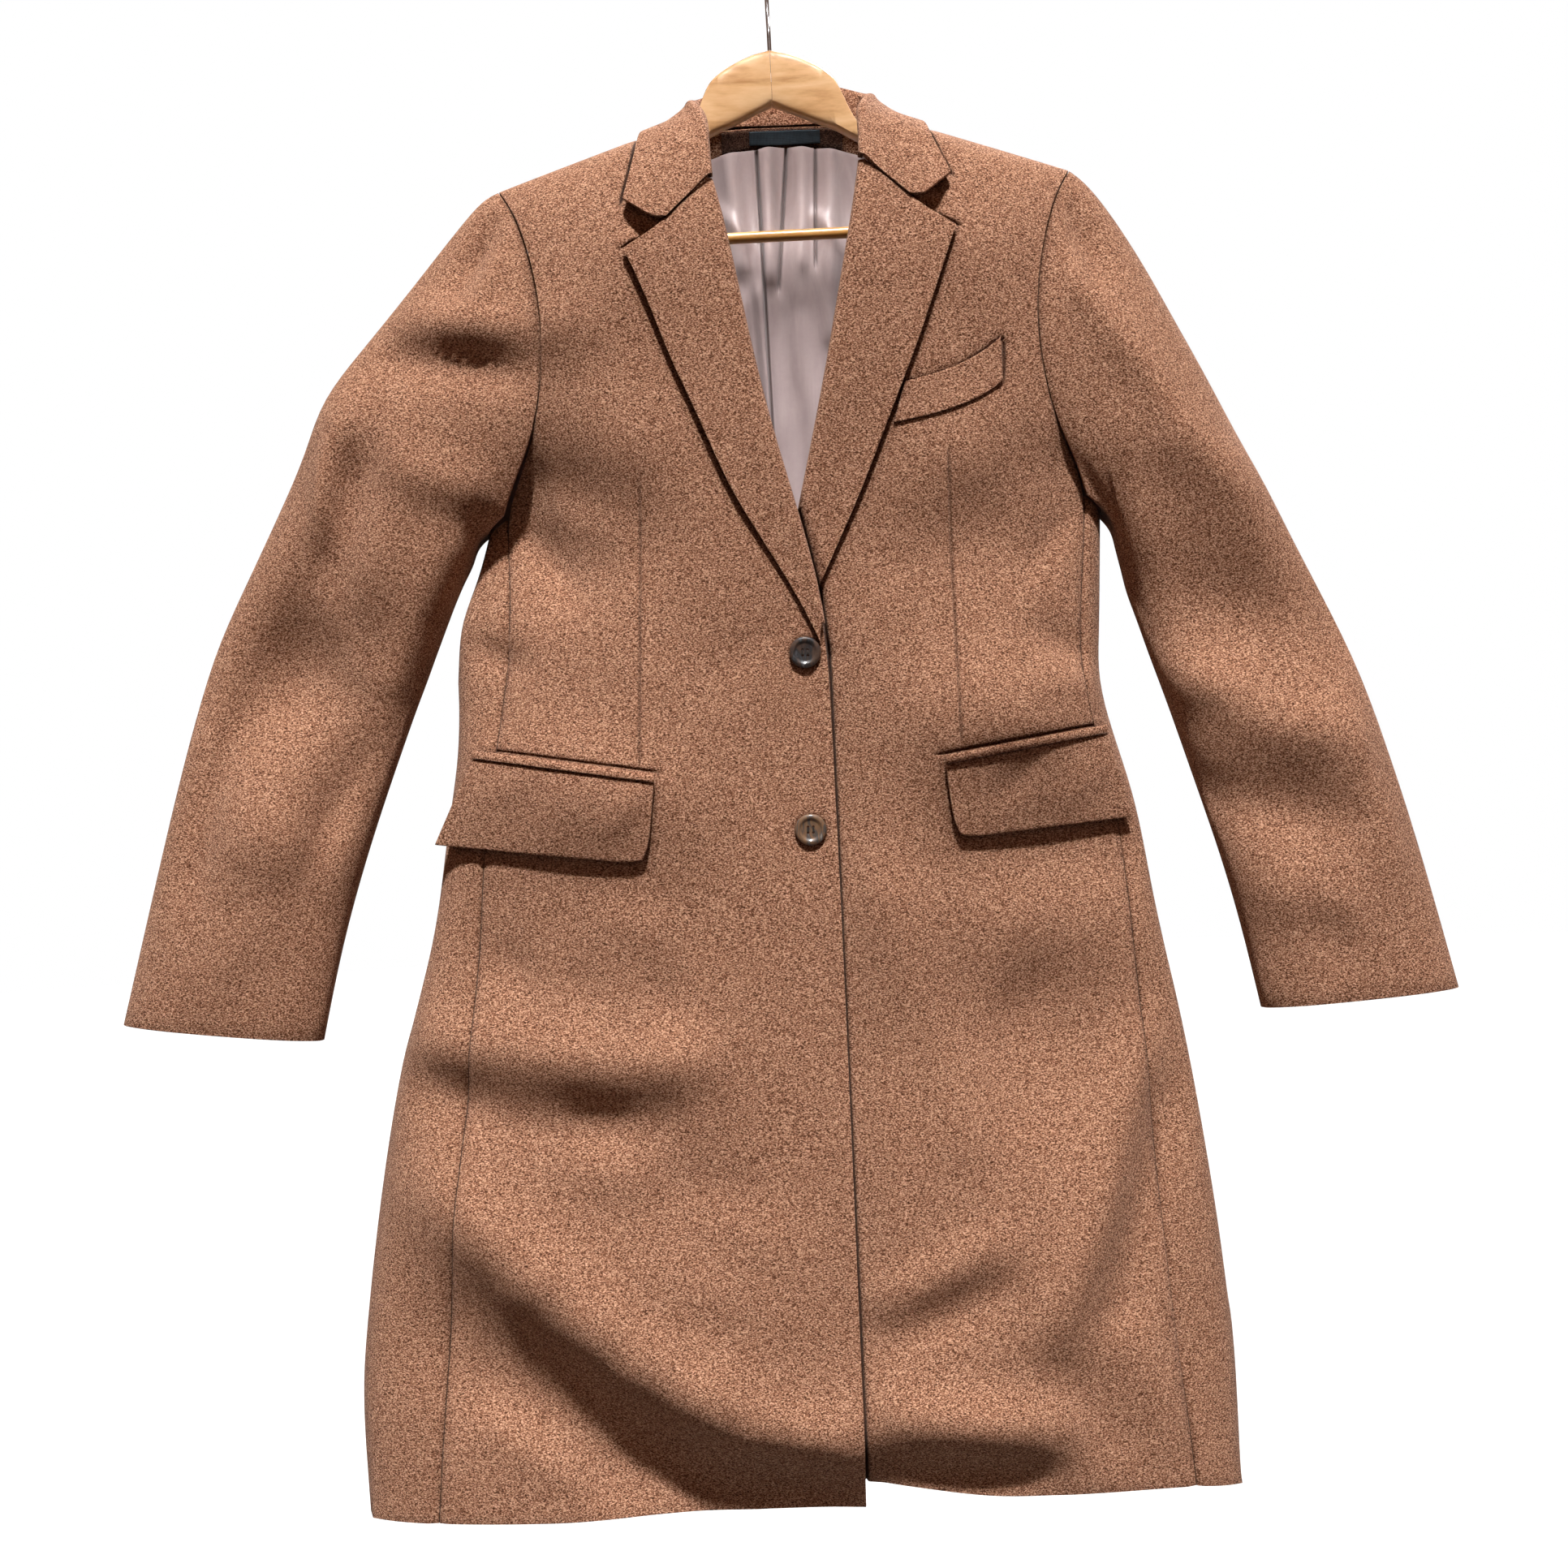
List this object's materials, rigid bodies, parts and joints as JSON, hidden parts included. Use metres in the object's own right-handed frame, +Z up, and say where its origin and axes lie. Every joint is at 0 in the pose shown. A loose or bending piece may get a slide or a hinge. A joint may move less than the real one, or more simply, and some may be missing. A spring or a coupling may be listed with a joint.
{
  "type": "cashmere coat on a hanger",
  "caption": "Single-breasted knee-length overcoat of napped brown cashmere with notched lapels and flap pockets, hung on a wooden hanger with a wire hook.",
  "frame": {"origin": "the point of the hook's inner top that rests on a rail", "axes": "+Z up, +X towards the wearer's left, -Y out of the coat's front"},
  "size_m": [0.913, 0.1003, 1.0513],
  "materials": {
    "cashmere": "napped, matt with a soft sheen",
    "satin": "satin lining",
    "woven_label": "plain woven label",
    "horn": "polished horn-look",
    "wood": "clear satin varnish",
    "steel": "plated wire"
  },
  "bodies": {
    "root": {"front_right": "cashmere", "front_left": "cashmere", "side_panel_right": "cashmere", "side_panel_left": "cashmere", "back": "cashmere", "sleeve_upper_right": "cashmere", "sleeve_upper_left": "cashmere", "sleeve_under_right": "cashmere", "sleeve_under_left": "cashmere", "lapel_right": "cashmere", "lapel_left": "cashmere", "collar": "cashmere", "pocket_flap_right": "cashmere", "pocket_flap_left": "cashmere", "pocket_jet_right": "cashmere", "pocket_jet_left": "cashmere", "breast_welt": "cashmere", "neck_facing": "cashmere", "back_lining": "satin", "label": "woven_label", "button_upper": "horn", "button_lower": "horn", "hanger_arm_right": "wood", "hanger_arm_left": "wood", "trouser_bar": "wood", "hook": "steel"}
  },
  "joints": []
}
